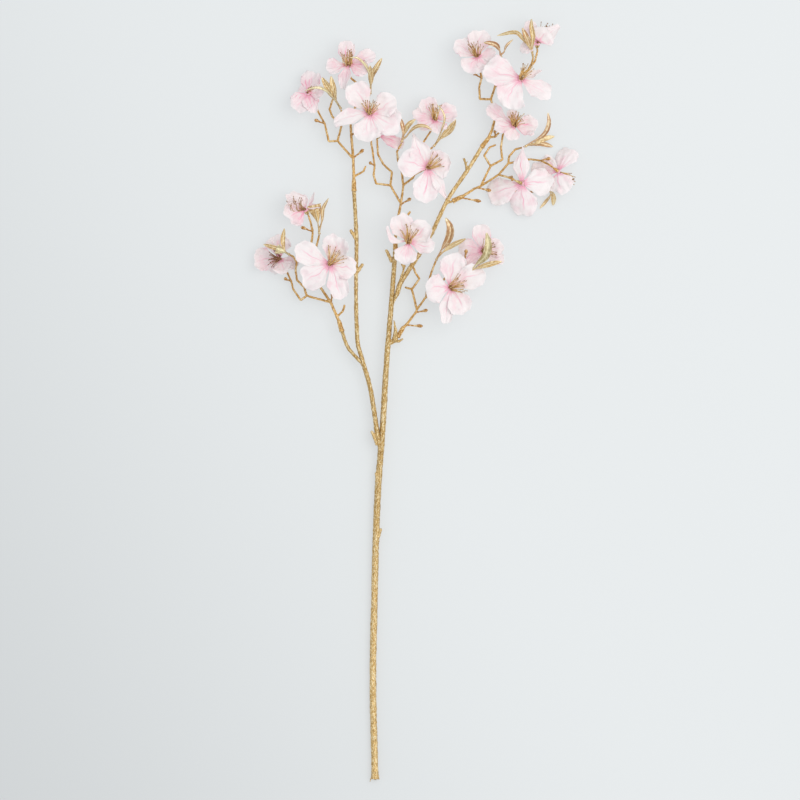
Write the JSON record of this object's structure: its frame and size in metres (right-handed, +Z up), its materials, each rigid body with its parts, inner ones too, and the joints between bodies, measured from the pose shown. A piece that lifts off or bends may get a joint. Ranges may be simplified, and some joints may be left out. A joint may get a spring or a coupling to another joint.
{
  "type": "artificial cherry blossom sprig",
  "caption": "Long artificial blossom sprig lying flat: a thin gold wrapped wire stem with forked branches, gold twigs and leaves, and pale pink open fabric blossoms.",
  "frame": {"origin": "on the table, under the middle of the sprig's bounding box", "axes": "+Y runs from the stem's cut foot towards the blossoms, +X to the right as the blossoms are looked down on, +Z up from the table"},
  "size_m": [0.3208, 0.7604, 0.0511],
  "materials": {
    "wrapped_stem": "gold painted paper wrap over wire, ribbed and rough",
    "wire": "plain drawn steel wire",
    "moulded_twig": "moulded plastic with worn gold and copper paint",
    "moulded_leaf": "moulded plastic with gold paint, copper at the edges",
    "petal_fabric": "stamped polyester cloth, near white, pink veins and a deeper pink base",
    "stamens": "moulded plastic filaments, brown gold with darker tips"
  },
  "bodies": {
    "root": {"main_stem": "wrapped_stem", "stem_wire": "wire", "left_branch": "wrapped_stem", "left_side_branch": "wrapped_stem", "right_branch": "wrapped_stem", "twig_set_a": "moulded_twig", "twig_set_b": "moulded_twig", "twig_set_c": "moulded_twig", "twig_set_d": "moulded_twig", "twig_set_e": "moulded_twig", "twig_set_f": "moulded_twig", "petals_a1": "petal_fabric", "stamens_a1": "stamens", "petals_a2": "petal_fabric", "stamens_a2": "stamens", "petals_a3": "petal_fabric", "stamens_a3": "stamens", "petals_b1": "petal_fabric", "stamens_b1": "stamens", "petals_b2": "petal_fabric", "stamens_b2": "stamens", "petals_b3": "petal_fabric", "stamens_b3": "stamens", "petals_c1": "petal_fabric", "stamens_c1": "stamens", "petals_c2": "petal_fabric", "stamens_c2": "stamens", "petals_c3": "petal_fabric", "stamens_c3": "stamens", "petals_d1": "petal_fabric", "stamens_d1": "stamens", "petals_d2": "petal_fabric", "stamens_d2": "stamens", "petals_d3": "petal_fabric", "stamens_d3": "stamens", "petals_d4": "petal_fabric", "stamens_d4": "stamens", "petals_e1": "petal_fabric", "stamens_e1": "stamens", "petals_e2": "petal_fabric", "stamens_e2": "stamens", "petals_f1": "petal_fabric", "stamens_f1": "stamens", "petals_f2": "petal_fabric", "stamens_f2": "stamens", "petals_f3": "petal_fabric", "stamens_f3": "stamens", "leaf_sprig_a1": "moulded_leaf", "leaf_sprig_a2": "moulded_leaf", "leaf_sprig_b1": "moulded_leaf", "leaf_sprig_b2": "moulded_leaf", "leaf_sprig_c1": "moulded_leaf", "leaf_sprig_c2": "moulded_leaf", "leaf_sprig_d1": "moulded_leaf", "leaf_sprig_d3": "moulded_leaf", "leaf_sprig_e1": "moulded_leaf", "leaf_sprig_e2": "moulded_leaf", "leaf_sprig_f1": "moulded_leaf", "leaf_sprig_f3": "moulded_leaf"}
  },
  "joints": []
}
